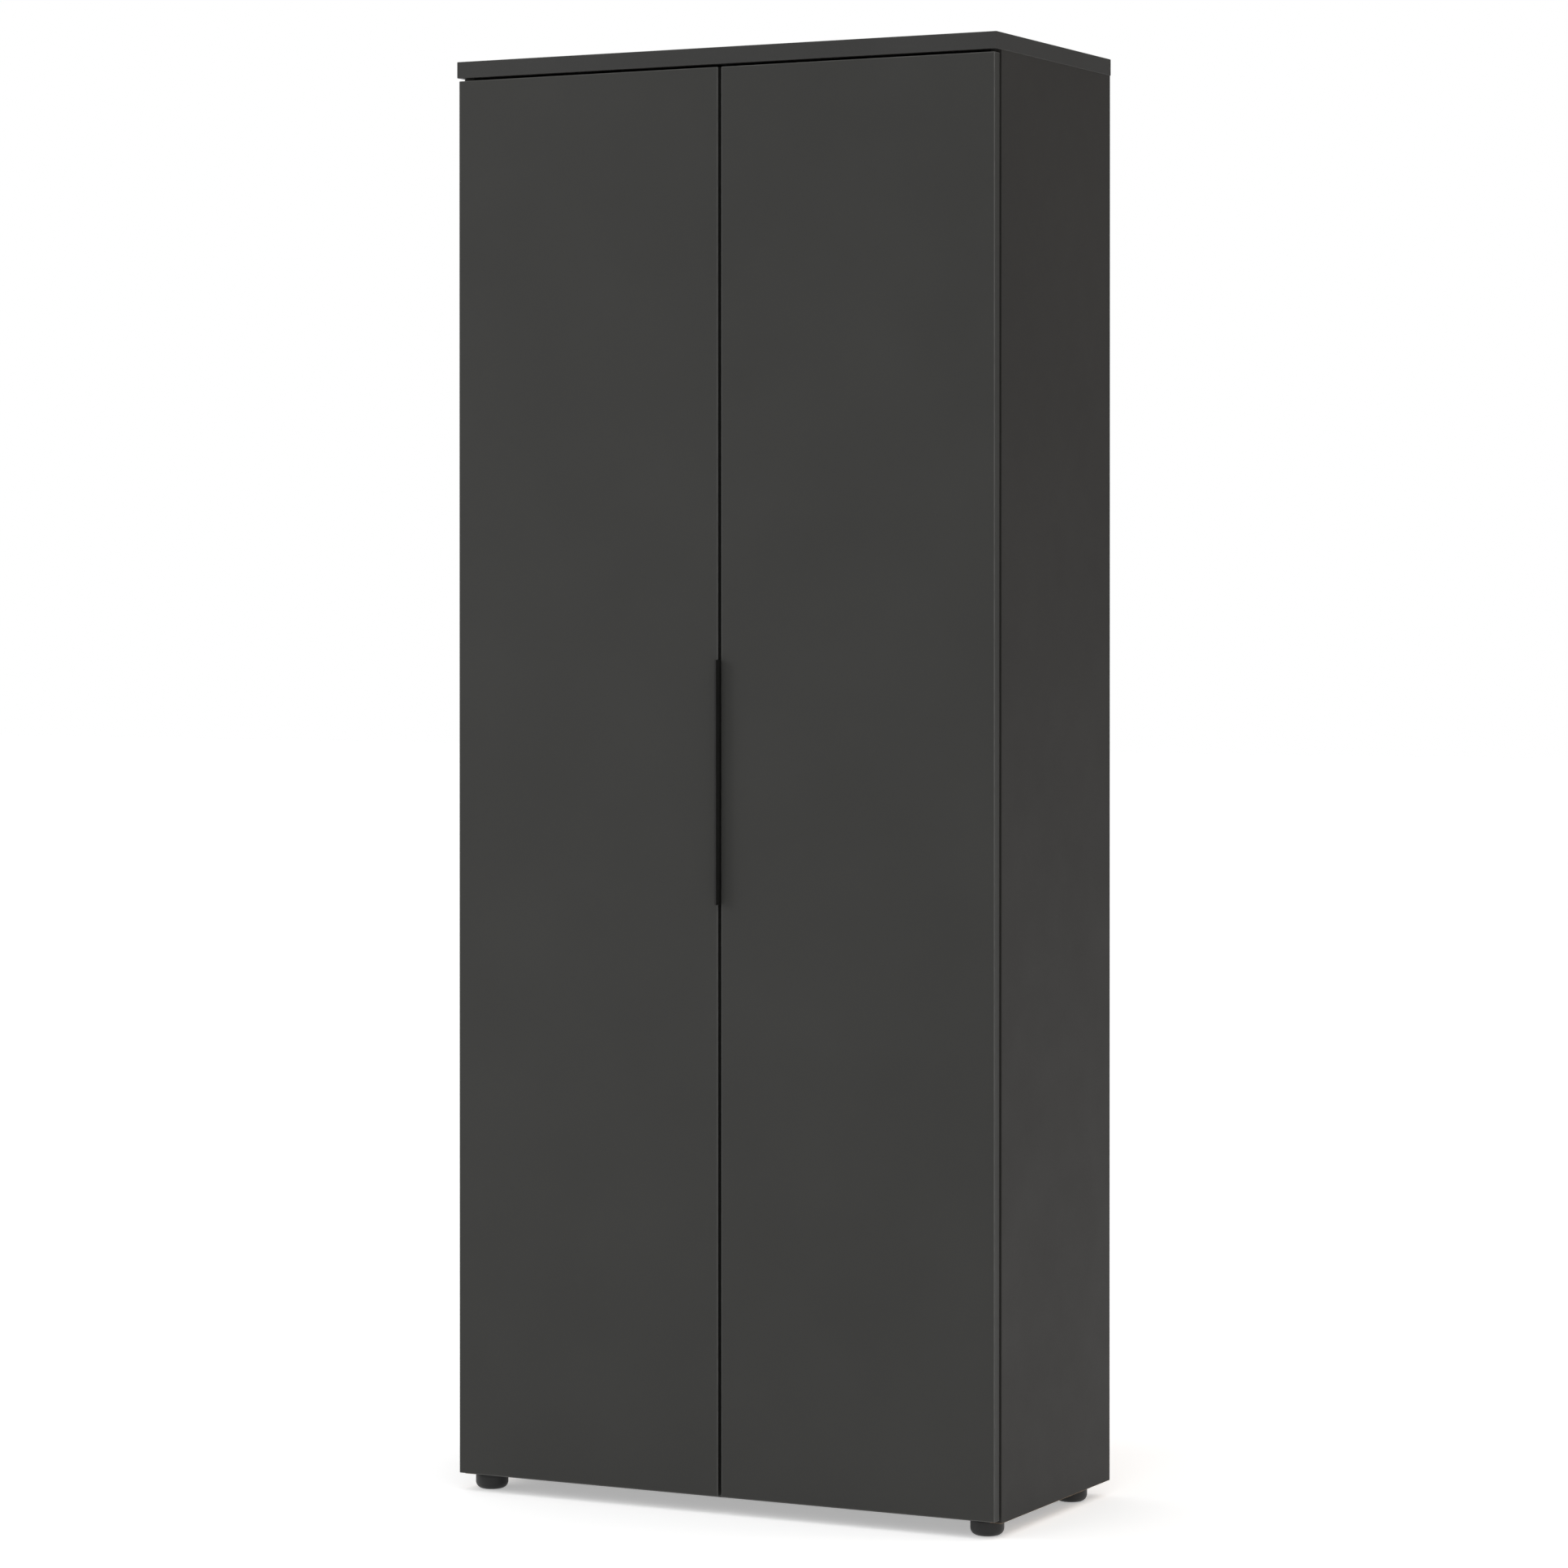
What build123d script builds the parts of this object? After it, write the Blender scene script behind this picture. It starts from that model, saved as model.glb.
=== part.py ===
from build123d import *
import os

# A tall, shallow wardrobe of graphite board. Two full-height doors cover a carcass of
# sides, bottom, hat shelf and an overhanging top, on four round glides. The left door
# carries a black edge-pull plate in the gap between the doors.
#
# Millimetres, +X right, +Y to the rear, +Z up. The origin is on the floor, under the
# centre of the whole object's box. Depths are first given from the top's front face.

# ------------------------------------------------------------------ driving dimensions
# Overall sizes and the gaps between the faces that show
width = 800
depth = 370
height = 1930
side_inset = 1
door_front_setback = 0.5
door_back_gap = 2
door_edge_inset = 3
door_middle_gap = 5
door_top_gap = 4
door_bottom_rise = 4

# Boards and sheets
board = 16
top_board = 22
door_board = 16
back_sheet = 3
door_edge_radius = 1
board_edge_radius = 0.8

# Back, held in grooves, with a joining strip down the middle
groove_from_rear = 10
groove_depth = 8
sheet_play = 0.1
groove_end_play = 1
strip_wall = 1
strip_web = 1.2
strip_width = 20
cut_over = 1

# Shelves
hat_compartment = 302
shoe_shelf_height = 330
shelf_end_gap = 1

# Glides
foot_radius = 22
foot_height = 20
foot_round = 9.6
foot_inset = 30
foot_front_setback = 40
foot_rear_setback = 62.5
foot_recess_radius = 5.5
foot_recess_depth = 10
foot_screw_radius = 2
foot_screw_length = 22

# Edge-pull plate of the left door
pull_length = 322
pull_thickness = 3
pull_projection = 10.7
pull_back_leg = 20
pull_back_thickness = 2
pull_screw_spacing = 256
pull_edge_radius = 0.5

# Board joints: cams with their bolts, and dowels one hole pitch inboard of them
pitch = 32
cam_radius = 7.5
cam_height = 12.3
cam_reach = 24
cam_front_setback = 70
cam_rear_setback = 88
cam_slot = 7.4
cam_recess_span = 7.6
cam_recess_width = 1.4
cam_recess_depth = 1.8
bolt_thread_radius = 2.5
bolt_thread_length = 11
bolt_shaft_radius = 3
bolt_neck_radius = 1.8
bolt_head_radius = 3.2
bolt_head_height = 3
bolt_bore_radius = 4
bolt_tip_chamfer = 1
dowel_radius = 4
dowel_length = 30
dowel_in_face = 11
dowel_chamfer = 0.8

# Fasteners
hole_room = 0.02
end_room = 0.5
dome_share = 0.6
screw_radius = 1.75
screw_length = 12
screw_head_radius = 3.5
screw_head_height = 2.2
screw_tip_share = 0.5
machine_screw_length = 5.2
nail_radius = 0.8
nail_length = 20
nail_head_radius = 2.5
nail_head_height = 0.8
nail_tip_chamfer = 0.56
recess_width = 0.9
recess_span = 3.8
recess_depth = 1.2

# Row of shelf-pin holes on the first hole line behind the front
hole_line = 37
pin_radius = 2.5
pin_length = 16
pin_hole_depth = 9
pin_round = 0.6
pin_rows_apart = 8 * pitch
pin_holes_each_way = 3

# Single-pivot concealed hinges
hinges_per_door = 4
hinge_end_setback = 100
pivot_from_edge = 6
pivot_from_back = 9.5
pivot_radius = 1
pivot_room = 0.06
pivot_pin_length = 13
pivot_pin_chamfer = 0.2
eye_radius = 1.7
cup_radius = 13
cup_depth = 12.4
cup_floor = 0.6
cup_edge_distance = 3
pocket_room = 0.3
pocket_end_room = 1
flange_thickness = 1
flange_length = 48
flange_width = 15
flange_corner_flat = 1
flange_bulge = 1
cup_screws_apart = 38
cup_screw_side_room = 1.5
arm_thickness = 1.6
neck_width = 6.4
neck_floor_room = 0.6
arm_width = 14
arm_setback = 1.5
arm_length = 44
arm_rim = 1.5
arm_rim_room = 0.6
arm_rim_setback = 4
arm_corner_radius = 3
plate_rail_width = 10
plate_rail_height = 4.2
plate_wing_length = 46
plate_wing_width = 12
plate_wing_thickness = 2.5
plate_wing_corner_radius = 4
plate_rail_setback = 3
plate_rail_rear_setback = 1
plate_rail_corner_radius = 2
plate_hole_room = 0.2

# Door pads
pad_radius = 4
pad_clearance = 0.4
pad_inset = 14
pad_rise = 1

# Hanger rail, front to rear under the hat shelf
rail_height = 30
rail_width = 15
rail_wall = 1
rail_play = 0.1
rail_drop = 42
rail_bracket_wall = 2.5
rail_socket_wall = 2
rail_socket_depth = 12
rail_bracket_length = 48
rail_bracket_width = 16
rail_bracket_corner_radius = 3
rail_screws_apart = 36
rail_front_setback = 20
rail_rear_setback = 6

# Wall-fixing angles inside the rear top corners
angle_length = 30
angle_leg = 40
angle_foot = 32
angle_thickness = 2
angle_bend_radius = 0.8
angle_screw_room = 4
angle_from_middle = 250
wall_hole_radius = 2.75
wall_hole_drop = 24
angle_screws_apart = 16

# Fixing nails along the rear of the bottom and the hat shelf
nail_places = (60, 200, 340)

# ------------------------------------------------------------------ planes and levels
pull_reach = pull_projection - door_front_setback
front = (pull_reach - depth) / 2
rear = front + depth
side_outer = width / 2 - side_inset
side_inner = side_outer - board
side_middle = side_outer - board / 2
side_bottom = foot_height
side_top = height - top_board
side_height = side_top - side_bottom

door_front = front + door_front_setback
door_back = door_front + door_board
side_front = door_back + door_back_gap
door_outer = width / 2 - door_edge_inset
door_inner = door_middle_gap / 2
door_width = door_outer - door_inner
door_bottom = side_bottom + door_bottom_rise
door_top = side_top - door_top_gap
door_height = door_top - door_bottom
door_middle_z = (door_bottom + door_top) / 2

groove_width = back_sheet + 2 * sheet_play
groove_rear = rear - groove_from_rear
groove_front = groove_rear - groove_width
sheet_front = groove_front + sheet_play
sheet_rear = sheet_front + back_sheet
shelf_rear = groove_front - strip_wall
shelf_depth = shelf_rear - side_front
shelf_middle_y = (side_front + shelf_rear) / 2

hat_shelf_top = side_top - hat_compartment
hat_shelf_bottom = hat_shelf_top - board
pin_z = shoe_shelf_height - pin_radius

cam_lines = (side_front + cam_front_setback, shelf_rear - cam_rear_setback)
dowel_lines = (cam_lines[0] + pitch, cam_lines[1] - pitch)
pin_lines = (side_front + hole_line, side_front + hole_line + pin_rows_apart)
feet = {
    "front": front + foot_front_setback,
    "rear": rear - foot_rear_setback,
}
sides = {"left": -1, "right": 1}

hinge_step = (door_height - 2 * hinge_end_setback) / (hinges_per_door - 1)
hinge_levels = [
    door_bottom + hinge_end_setback + hinge_step * i for i in range(hinges_per_door)
]
pivot_x = door_outer - pivot_from_edge
pivot_y = door_back - pivot_from_back
cup_x = door_outer - cup_edge_distance - cup_radius
cup_screw_x = side_inner - cup_screw_side_room - screw_head_radius
plate_y = side_front + hole_line
arm_back_x = side_inner - plate_rail_height
arm_face_x = arm_back_x - arm_thickness
arm_front = side_front + arm_setback
plate_rail_length = arm_length - plate_rail_setback - plate_rail_rear_setback


# ------------------------------------------------------------------ small helpers
def outward(point, direction, turn=None):
    """A plane at a point of a surface, looking straight out of it."""
    return Plane(origin=point, x_dir=turn, z_dir=direction)


def drill(planes, radius, depth):
    """Round holes of one size, from the planes into the material behind them."""
    with Locations(planes):
        Hole(radius, depth)


def carve(box_low, box_high):
    """Cut a box-shaped space between two corners."""
    with Locations(Vector(*box_low)):
        Box(
            *(high - low for low, high in zip(box_low, box_high)),
            align=Align.MIN,
            mode=Mode.SUBTRACT,
        )


def keep(piece, name):
    """Label a finished piece and write its file."""
    piece.part.label = name
    export_step(piece.part, f"parts/{name}.step")


def placed(template, name, planes):
    """Write one node that holds a copy of a small piece on every plane."""
    with BuildPart() as group:
        with Locations(planes):
            add(template.part)
    keep(group, name)


def screw(radius, length, head_radius, head_height):
    """A pan-head screw: the head sits on the plane, the shank runs down from it."""
    with BuildPart() as piece:
        Cylinder(head_radius, head_height, align=(Align.CENTER, Align.CENTER, Align.MIN))
        fillet(piece.faces().sort_by(Axis.Z)[-1].edges(), head_height * dome_share)
        Cylinder(radius, length, align=(Align.CENTER, Align.CENTER, Align.MAX))
        chamfer(piece.faces().sort_by(Axis.Z)[0].edges(), radius * screw_tip_share)
        with Locations((0, 0, head_height)):
            for turn in (0, 90):
                Box(
                    recess_span,
                    recess_width,
                    2 * recess_depth,
                    rotation=(0, 0, turn),
                    mode=Mode.SUBTRACT,
                )
    return piece


# ------------------------------------------------------------------ places of the joints
def top_joint(s, y):
    """Where a bolt or dowel leaves the top's underside, down into a side's end."""
    return outward((s * side_middle, y, side_top), (0, 0, -1))


def side_joint(s, y, z):
    """Where a bolt or dowel leaves a side's inner face, into a board's end."""
    return outward((s * side_inner, y, z), (-s, 0, 0))


def side_cam(s, y):
    """A cam in a side's inner face, its mouth up towards the top."""
    return outward((s * side_inner, y, side_top - cam_reach), (-s, 0, 0), (0, 0, 1))


def board_cam(s, y, z):
    """A cam in a board's underside, its mouth towards a side."""
    return outward((s * (side_inner - cam_reach), y, z), (0, 0, -1), (s, 0, 0))


def board_end(s, y, z):
    """A hole in a board's end, facing a side."""
    return outward((s * side_inner, y, z), (s, 0, 0))


joint_levels = (side_bottom + board / 2, hat_shelf_bottom + board / 2)
bolt_planes = [top_joint(s, y) for s in sides.values() for y in cam_lines]
bolt_planes += [
    side_joint(s, y, z) for s in sides.values() for y in cam_lines for z in joint_levels
]
cam_planes = [side_cam(s, y) for s in sides.values() for y in cam_lines]
cam_planes += [
    board_cam(s, y, z)
    for s in sides.values()
    for y in cam_lines
    for z in (side_bottom, hat_shelf_bottom)
]
dowel_planes = [top_joint(s, y) for s in sides.values() for y in dowel_lines]
dowel_planes += [
    side_joint(s, y, z) for s in sides.values() for y in dowel_lines for z in joint_levels
]
rail_front = side_front + rail_front_setback
rail_rear = shelf_rear - rail_rear_setback
rail_screw_lines = (rail_front + rail_bracket_width / 2, rail_rear - rail_bracket_width / 2)
rail_screw_planes = [
    outward((x, y, hat_shelf_bottom - rail_bracket_wall), (0, 0, -1))
    for x in (-rail_screws_apart / 2, rail_screws_apart / 2)
    for y in rail_screw_lines
]
angle_screw_y = sheet_front - angle_foot + screw_head_radius + angle_screw_room
angle_screw_planes = [
    outward((s * angle_from_middle + offset, angle_screw_y, side_top - angle_thickness), (0, 0, -1))
    for s in sides.values()
    for offset in (-angle_screws_apart / 2, angle_screws_apart / 2)
]
wall_hole_z = side_top - wall_hole_drop


def plate_screw_planes(s):
    """Both screws of every mounting plate of one side, on the plate's wings."""
    x = s * (side_inner - plate_wing_thickness)
    return [
        outward((x, plate_y, z + up), (-s, 0, 0))
        for z in hinge_levels
        for up in (-pitch / 2, pitch / 2)
    ]


def cup_screw_planes(s):
    """Both screws of every cup of one door, on the cup's flange."""
    x = s * cup_screw_x
    y = door_back + flange_thickness
    return [
        outward((x, y, z + up), (0, 1, 0))
        for z in hinge_levels
        for up in (-cup_screws_apart / 2, cup_screws_apart / 2)
    ]


pull_left = -door_inner
pull_right = pull_left + pull_thickness
pull_screw_planes = [
    outward((pull_left - pull_back_leg / 2, door_back + pull_back_thickness, z), (0, 1, 0))
    for z in (door_middle_z - pull_screw_spacing / 2, door_middle_z + pull_screw_spacing / 2)
]
nail_planes = [
    outward((s * x, sheet_rear, z), (0, 1, 0))
    for s in sides.values()
    for x in nail_places
    for z in joint_levels
]

# ------------------------------------------------------------------ templates
with BuildPart() as cam:
    Cylinder(cam_radius, cam_height, align=(Align.CENTER, Align.CENTER, Align.MAX))
    with Locations((-cam_slot / 2, 0, -board / 2)):
        Box(
            2 * cam_radius,
            cam_slot,
            cam_slot,
            align=(Align.MIN, Align.CENTER, Align.CENTER),
            mode=Mode.SUBTRACT,
        )
    for turn in (0, 90):
        Box(
            cam_recess_span,
            cam_recess_width,
            2 * cam_recess_depth,
            rotation=(0, 0, turn),
            mode=Mode.SUBTRACT,
        )

with BuildPart() as cam_bolt:
    Cylinder(
        bolt_thread_radius, bolt_thread_length, align=(Align.CENTER, Align.CENTER, Align.MAX)
    )
    chamfer(cam_bolt.faces().sort_by(Axis.Z)[0].edges(), bolt_tip_chamfer)
    Cylinder(
        bolt_shaft_radius,
        cam_reach - 2 * bolt_head_height,
        align=(Align.CENTER, Align.CENTER, Align.MIN),
    )
    Cylinder(bolt_neck_radius, cam_reach, align=(Align.CENTER, Align.CENTER, Align.MIN))
    with Locations((0, 0, cam_reach - bolt_head_height / 2)):
        Cylinder(bolt_head_radius, bolt_head_height)

with BuildPart() as dowel:
    with Locations((0, 0, -dowel_in_face)):
        Cylinder(dowel_radius, dowel_length, align=(Align.CENTER, Align.CENTER, Align.MIN))
    chamfer(dowel.faces().filter_by(Axis.Z).edges(), dowel_chamfer)

with BuildPart() as shelf_pin:
    with Locations((0, 0, end_room - pin_hole_depth)):
        Cylinder(pin_radius, pin_length, align=(Align.CENTER, Align.CENTER, Align.MIN))
    fillet(shelf_pin.faces().filter_by(Axis.Z).edges(), pin_round)

with BuildPart() as nail:
    Cylinder(nail_head_radius, nail_head_height, align=(Align.CENTER, Align.CENTER, Align.MIN))
    Cylinder(nail_radius, nail_length, align=(Align.CENTER, Align.CENTER, Align.MAX))
    chamfer(nail.faces().sort_by(Axis.Z)[0].edges(), nail_tip_chamfer)

with BuildPart() as pad:
    pad_height = side_front - door_back - pad_clearance
    Cylinder(pad_radius, pad_height, align=(Align.CENTER, Align.CENTER, Align.MIN))
    fillet(pad.faces().sort_by(Axis.Z)[-1].edges(), pad_height * dome_share)

board_screw = screw(screw_radius, screw_length, screw_head_radius, screw_head_height)
arm_screw = screw(screw_radius, machine_screw_length, screw_head_radius, screw_head_height)
foot_screw = screw(foot_screw_radius, foot_screw_length, 2 * foot_screw_radius, screw_head_height)

os.makedirs("parts", exist_ok=True)

# ------------------------------------------------------------------ top panel
with BuildPart() as top_panel:
    with BuildSketch(Plane.XY.offset(side_top)):
        with Locations((0, (front + rear) / 2)):
            Rectangle(width, depth)
    extrude(amount=top_board)
    shown_edges = top_panel.edges().filter_by(Axis.Z, reverse=True)
    fillet(shown_edges + top_panel.edges().filter_by(Axis.Z), board_edge_radius)
    groove_half = side_inner + groove_depth
    carve(
        (-groove_half, groove_front, side_top - cut_over),
        (groove_half, groove_rear, side_top + groove_depth),
    )
    drill([top_joint(s, y) for s in sides.values() for y in cam_lines],
          bolt_thread_radius + hole_room, bolt_thread_length + end_room)
    drill([top_joint(s, y) for s in sides.values() for y in dowel_lines],
          dowel_radius + hole_room, dowel_in_face + end_room)
    drill(angle_screw_planes, screw_radius + hole_room, screw_length + end_room)
keep(top_panel, "top_panel")

# ------------------------------------------------------------------ side panels
for side_name, s in sides.items():
    with BuildPart() as side_panel:
        with BuildSketch(Plane.XY.offset(side_bottom)):
            with Locations((s * side_middle, (side_front + rear) / 2)):
                Rectangle(board, rear - side_front)
        extrude(amount=side_height)
        fillet(side_panel.edges().filter_by(Axis.Z), board_edge_radius)
        groove_x = sorted((s * (side_inner - cut_over), s * (side_inner + groove_depth)))
        carve(
            (groove_x[0], groove_front, side_bottom - cut_over),
            (groove_x[1], groove_rear, side_top + cut_over),
        )
        drill([side_joint(s, y, z) for y in cam_lines for z in joint_levels],
              bolt_thread_radius + hole_room, bolt_thread_length + end_room)
        drill([side_joint(s, y, z) for y in dowel_lines for z in joint_levels],
              dowel_radius + hole_room, dowel_in_face + end_room)
        drill([side_cam(s, y) for y in cam_lines], cam_radius + hole_room, cam_height + end_room)
        drill([outward((s * side_middle, y, side_top), (0, 0, 1)) for y in cam_lines],
              bolt_bore_radius, cam_reach)
        drill([outward((s * side_middle, y, side_top), (0, 0, 1)) for y in dowel_lines],
              dowel_radius + hole_room, dowel_length - dowel_in_face + end_room)
        drill(plate_screw_planes(s), screw_radius + hole_room, screw_length + end_room)
        drill(
            [
                side_joint(s, y, pin_z + pitch * i)
                for y in pin_lines
                for i in range(-pin_holes_each_way, pin_holes_each_way + 1)
            ],
            pin_radius + hole_room,
            pin_hole_depth,
        )
    keep(side_panel, f"side_panel_{side_name}")


# ------------------------------------------------------------------ bottom and hat shelf
def fixed_board(level):
    """A board between the sides, joined by cams from below and dowels."""
    with BuildPart() as piece:
        with BuildSketch(Plane.XY.offset(level)):
            with Locations((0, shelf_middle_y)):
                Rectangle(2 * side_inner, shelf_depth)
        extrude(amount=board)
        fillet(piece.edges().filter_by(Axis.X).group_by(Axis.Y)[0], board_edge_radius)
        middle = level + board / 2
        drill([board_cam(s, y, level) for s in sides.values() for y in cam_lines],
              cam_radius + hole_room, cam_height + end_room)
        drill([board_end(s, y, middle) for s in sides.values() for y in cam_lines],
              bolt_bore_radius, cam_reach)
        drill([board_end(s, y, middle) for s in sides.values() for y in dowel_lines],
              dowel_radius + hole_room, dowel_length - dowel_in_face + end_room)
        drill([outward((s * x, shelf_rear, middle), (0, 1, 0)) for s in sides.values() for x in nail_places],
              nail_radius + hole_room, nail_length)
    return piece


bottom_panel = fixed_board(side_bottom)
with bottom_panel:
    drill(
        [
            outward((s * (side_outer - foot_inset), y, side_bottom), (0, 0, -1))
            for s in sides.values()
            for y in feet.values()
        ],
        foot_screw_radius + hole_room,
        foot_screw_length - foot_height + foot_recess_depth + end_room,
    )
keep(bottom_panel, "bottom_panel")

hat_shelf = fixed_board(hat_shelf_bottom)
with hat_shelf:
    drill(rail_screw_planes, screw_radius + hole_room, screw_length + end_room)
keep(hat_shelf, "hat_shelf")

# ------------------------------------------------------------------ shoe shelf on pins
with BuildPart() as shoe_shelf:
    with BuildSketch(Plane.XY.offset(shoe_shelf_height)):
        with Locations((0, shelf_middle_y)):
            Rectangle(2 * (side_inner - shelf_end_gap), shelf_depth)
    extrude(amount=board)
    fillet(shoe_shelf.edges().filter_by(Axis.X).group_by(Axis.Y)[0], board_edge_radius)
keep(shoe_shelf, "shoe_shelf")
placed(shelf_pin, "shelf_pins", [side_joint(s, y, pin_z) for s in sides.values() for y in pin_lines])

# ------------------------------------------------------------------ back in two halves
for side_name, s in sides.items():
    with BuildPart() as back_panel:
        near = strip_web / 2 + sheet_play
        far = side_inner + groove_depth - groove_end_play
        with BuildSketch(Plane.XY.offset(side_bottom)):
            with Locations((s * (near + far) / 2, (sheet_front + sheet_rear) / 2)):
                Rectangle(far - near, back_sheet)
        extrude(amount=side_height + groove_depth - groove_end_play)
        drill([outward((s * x, sheet_rear, z), (0, 1, 0)) for x in nail_places for z in joint_levels],
              nail_radius + hole_room, 2 * back_sheet)
        drill([outward((s * angle_from_middle, sheet_rear, wall_hole_z), (0, 1, 0))],
              wall_hole_radius, 2 * back_sheet)
    keep(back_panel, f"back_panel_{side_name}")

with BuildPart() as back_strip:
    with BuildSketch(Plane.XY.offset(side_bottom)):
        with Locations((0, (groove_front + groove_rear) / 2)):
            Rectangle(strip_width, groove_width + 2 * strip_wall)
            with GridLocations(strip_width / 2 + strip_web / 2, 0, 2, 1):
                Rectangle(strip_width / 2 - strip_web / 2, groove_width, mode=Mode.SUBTRACT)
    extrude(amount=side_height)
keep(back_strip, "back_strip")
placed(nail, "back_nails", nail_planes)

# ------------------------------------------------------------------ joining hardware
placed(cam, "cam_locks", cam_planes)
placed(cam_bolt, "cam_bolts", bolt_planes)
placed(dowel, "dowels", dowel_planes)

# ------------------------------------------------------------------ glides
for row_name, foot_y in feet.items():
    for side_name, s in sides.items():
        with BuildPart() as foot:
            with BuildSketch():
                with Locations((s * (side_outer - foot_inset), foot_y)):
                    Circle(foot_radius)
            extrude(amount=foot_height)
            fillet(foot.faces().sort_by(Axis.Z)[0].edges(), foot_round)
            below = outward((s * (side_outer - foot_inset), foot_y, 0), (0, 0, -1))
            with Locations(below):
                CounterBoreHole(
                    foot_screw_radius + hole_room, foot_recess_radius, foot_recess_depth
                )
        keep(foot, f"foot_{row_name}_{side_name}")
placed(
    foot_screw,
    "foot_screws",
    [
        outward((s * (side_outer - foot_inset), y, foot_recess_depth), (0, 0, -1))
        for s in sides.values()
        for y in feet.values()
    ],
)

# ------------------------------------------------------------------ hanger rail
rail_z = hat_shelf_bottom - rail_drop
tube_front = rail_front + rail_bracket_wall
tube_rear = rail_rear - rail_bracket_wall
with BuildPart() as hanger_rail:
    with BuildSketch(Plane(origin=(0, tube_front, rail_z), z_dir=(0, 1, 0), x_dir=(1, 0, 0))):
        SlotOverall(rail_height, rail_width, rotation=90)
        SlotOverall(
            rail_height - 2 * rail_wall, rail_width - 2 * rail_wall, rotation=90, mode=Mode.SUBTRACT
        )
    extrude(amount=tube_rear - tube_front)
keep(hanger_rail, "hanger_rail")

for end_name, bracket_y, inward in (("front", rail_front, 1), ("rear", rail_rear, -1)):
    socket_height = rail_height + 2 * rail_play
    socket_width = rail_width + 2 * rail_play
    end_plane = Plane(origin=(0, bracket_y, rail_z), x_dir=(-inward, 0, 0), z_dir=(0, inward, 0))
    with BuildPart() as bracket:
        with BuildSketch(end_plane):
            SlotOverall(
                socket_height + 2 * rail_socket_wall, socket_width + 2 * rail_socket_wall, rotation=90
            )
            with Locations((0, rail_drop / 2)):
                Rectangle(socket_width + 2 * rail_socket_wall, rail_drop)
        extrude(amount=rail_bracket_wall)
        with BuildSketch(end_plane.offset(rail_bracket_wall)):
            SlotOverall(
                socket_height + 2 * rail_socket_wall, socket_width + 2 * rail_socket_wall, rotation=90
            )
            SlotOverall(socket_height, socket_width, rotation=90, mode=Mode.SUBTRACT)
        extrude(amount=rail_socket_depth)
        with BuildSketch(Plane.XY.offset(hat_shelf_bottom - rail_bracket_wall)):
            with Locations((0, bracket_y + inward * rail_bracket_width / 2)):
                RectangleRounded(rail_bracket_length, rail_bracket_width, rail_bracket_corner_radius)
        extrude(amount=rail_bracket_wall)
        drill(
            [plane for plane in rail_screw_planes if abs(plane.origin.Y - bracket_y) < rail_bracket_width],
            screw_radius + hole_room,
            2 * rail_bracket_wall,
        )
    keep(bracket, f"rail_bracket_{end_name}")

# ------------------------------------------------------------------ wall-fixing angles
for side_name, s in sides.items():
    with BuildPart() as angle:
        with BuildSketch(Plane.YZ.offset(s * angle_from_middle - angle_length / 2)):
            with BuildLine():
                Polyline(
                    (sheet_front, side_top),
                    (sheet_front - angle_foot, side_top),
                    (sheet_front - angle_foot, side_top - angle_thickness),
                    (sheet_front - angle_thickness, side_top - angle_thickness),
                    (sheet_front - angle_thickness, side_top - angle_leg),
                    (sheet_front, side_top - angle_leg),
                    close=True,
                )
            make_face()
        extrude(amount=angle_length)
        fillet(angle.edges().filter_by(Axis.Z).group_by(Axis.Y)[0], angle_bend_radius)
        drill([plane for plane in angle_screw_planes if plane.origin.X * s > 0],
              screw_radius + hole_room, 2 * angle_thickness)
        drill([outward((s * angle_from_middle, sheet_front, wall_hole_z), (0, 1, 0))],
              wall_hole_radius, 2 * angle_thickness)
    keep(angle, f"wall_angle_{side_name}")

# ------------------------------------------------------------------ doors
pad_levels = (side_bottom + board / 2 + pad_rise, hat_shelf_bottom + board / 2)
for side_name, s in sides.items():
    screw_planes = cup_screw_planes(s)
    if side_name == "left":
        screw_planes = screw_planes + pull_screw_planes
    with BuildPart() as door:
        with BuildSketch(Plane.XY.offset(door_bottom)):
            with Locations((s * (door_inner + door_outer) / 2, (door_front + door_back) / 2)):
                Rectangle(door_width, door_board)
        extrude(amount=door_height)
        fillet(door.edges(), door_edge_radius)
        drill([outward((s * cup_x, door_back, z), (0, 1, 0)) for z in hinge_levels],
              cup_radius + hole_room, cup_depth)
        drill(screw_planes, screw_radius + hole_room, screw_length + end_room)
    keep(door, f"door_{side_name}")
    placed(board_screw, f"door_screws_{side_name}", screw_planes)
    placed(
        pad,
        f"door_pads_{side_name}",
        [outward((s * (door_inner + pad_inset), door_back, z), (0, 1, 0)) for z in pad_levels],
    )

# ------------------------------------------------------------------ edge-pull plate
pull_bottom = door_middle_z - pull_length / 2
with BuildPart() as edge_pull:
    with BuildSketch(Plane.XY.offset(pull_bottom)):
        with BuildLine():
            Polyline(
                (pull_left, door_front - pull_projection),
                (pull_right, door_front - pull_projection),
                (pull_right, door_back + pull_back_thickness),
                (pull_left - pull_back_leg, door_back + pull_back_thickness),
                (pull_left - pull_back_leg, door_back),
                (pull_left, door_back),
                close=True,
            )
        make_face()
    extrude(amount=pull_length)
    lip_edges = edge_pull.faces().sort_by(Axis.Y)[0].edges()
    fillet(lip_edges, pull_edge_radius)
    drill(pull_screw_planes, screw_radius + hole_room, 2 * pull_back_thickness)
keep(edge_pull, "edge_pull")


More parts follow.
